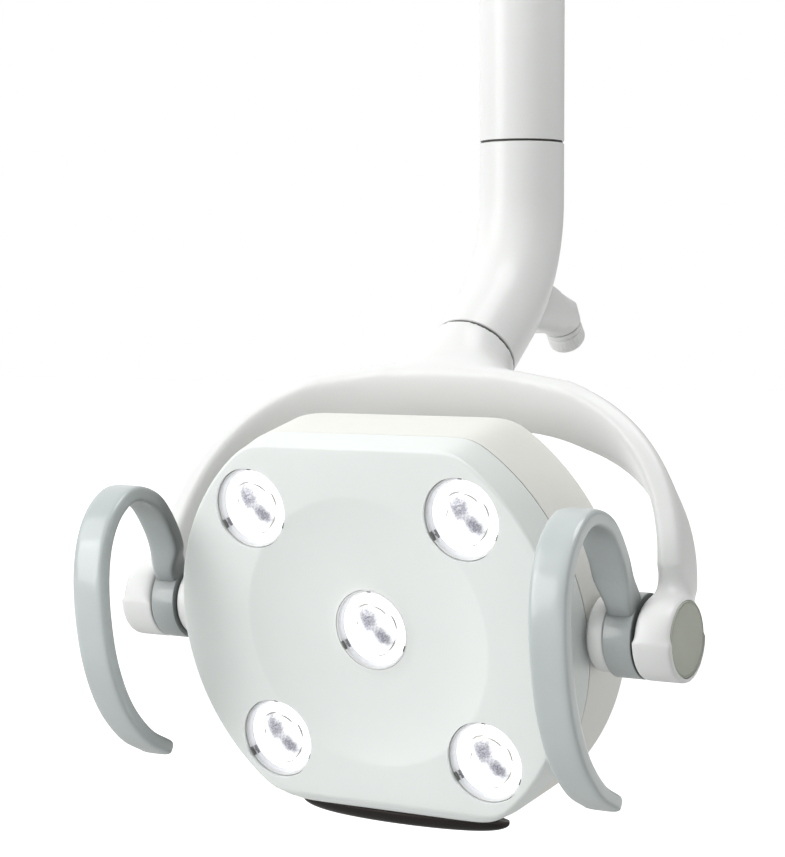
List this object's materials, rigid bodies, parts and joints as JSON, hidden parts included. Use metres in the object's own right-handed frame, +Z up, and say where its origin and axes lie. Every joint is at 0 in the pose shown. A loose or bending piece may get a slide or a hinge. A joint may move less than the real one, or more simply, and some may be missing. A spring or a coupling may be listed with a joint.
{
  "type": "dental operating light",
  "caption": "Dental operating light on a swivelling elbow: a tilting LED head with dome lenses and side handles, held in an arched yoke.",
  "frame": {"origin": "centre of the drop tube's top face, where the light meets the arm that carries it", "axes": "+Z up along the drop tube, -Y the horizontal direction the lit face looks in, +X along the tilt axis"},
  "size_m": [0.3468, 0.3005, 0.5001],
  "materials": {
    "white_paint": "semi-gloss white powder coat",
    "face_plastic": "pale grey-green moulding, satin",
    "rear_plastic": "warm light grey moulding, satin",
    "grip": "grey silicone-like grip, matte",
    "cap": "grey-green cap, matte",
    "dark": "black spacer ring",
    "window": "glossy near-black sensor window",
    "lens": "clear dome lens",
    "lens_ring": "light grey lens frame",
    "mirror": "aluminised reflector cup",
    "steel": "turned steel",
    "alloy": "machined or pressed aluminium",
    "bronze": "sintered bronze bush",
    "board": "green printed circuit board",
    "polymer": "dark engineering plastic"
  },
  "bodies": {
    "mast": {"drop_tube": "white_paint", "top_plug": "alloy", "tube_screw_1": "steel", "tube_screw_2": "steel", "bearing_housing": "alloy", "upper_bush": "bronze", "lower_bush": "bronze"},
    "elbow": {"elbow_tube": "white_paint", "swivel_spindle": "steel", "spindle_nut": "steel", "seam_ring": "dark", "thrust_washer": "polymer", "neck_housing": "alloy", "neck_bush": "bronze", "pod_housing": "white_paint", "dimmer_switch": "polymer"},
    "knob": {"dimmer_knob": "white_paint"},
    "yoke": {"yoke_frame": "white_paint", "neck_spindle": "steel", "neck_nut": "steel", "neck_ring": "dark", "boss_bush_left": "bronze", "boss_bush_right": "bronze", "boss_cap_left": "cap", "boss_cap_right": "cap", "friction_washer_left": "polymer", "friction_washer_right": "polymer"},
    "head": {"front_cover": "face_plastic", "rear_cover": "rear_plastic", "chassis_plate": "alloy", "heat_sink": "alloy", "driver_board": "board", "led_board": "board", "sensor_window": "window", "collar_left": "white_paint", "collar_right": "white_paint", "handle_left": "grip", "handle_right": "grip", "tilt_shaft_left": "steel", "tilt_shaft_right": "steel", "tilt_nut_left": "steel", "tilt_nut_right": "steel", "lens_middle": "lens", "lens_upper_left": "lens", "lens_upper_right": "lens", "lens_lower_left": "lens", "lens_lower_right": "lens", "lens_ring_middle": "lens_ring", "lens_ring_upper_left": "lens_ring", "lens_ring_upper_right": "lens_ring", "lens_ring_lower_left": "lens_ring", "lens_ring_lower_right": "lens_ring", "reflector_middle": "mirror", "reflector_upper_left": "mirror", "reflector_upper_right": "mirror", "reflector_lower_left": "mirror", "reflector_lower_right": "mirror"}
  },
  "joints": [
    {"name": "tube_swivel", "type": "hinge", "parent": "mast", "child": "elbow", "pos_m": [0, 0, -0.12], "axis": [0, 0, 1], "range_deg": [-170, 170]},
    {"name": "neck_swivel", "type": "hinge", "parent": "elbow", "child": "yoke", "pos_m": [0, -0.05666, -0.24351], "axis": [0, 0.766, 0.6428], "range_deg": [-90, 90]},
    {"name": "head_tilt", "type": "hinge", "parent": "yoke", "child": "head", "pos_m": [0, -0.14, -0.385], "axis": [1, 0, 0], "range_deg": [-35, 75]},
    {"name": "dimmer_turn", "type": "hinge", "parent": "elbow", "child": "knob", "pos_m": [0, 0.056, -0.233], "axis": [0, -0.6157, 0.788], "range_deg": [-135, 135]}
  ]
}
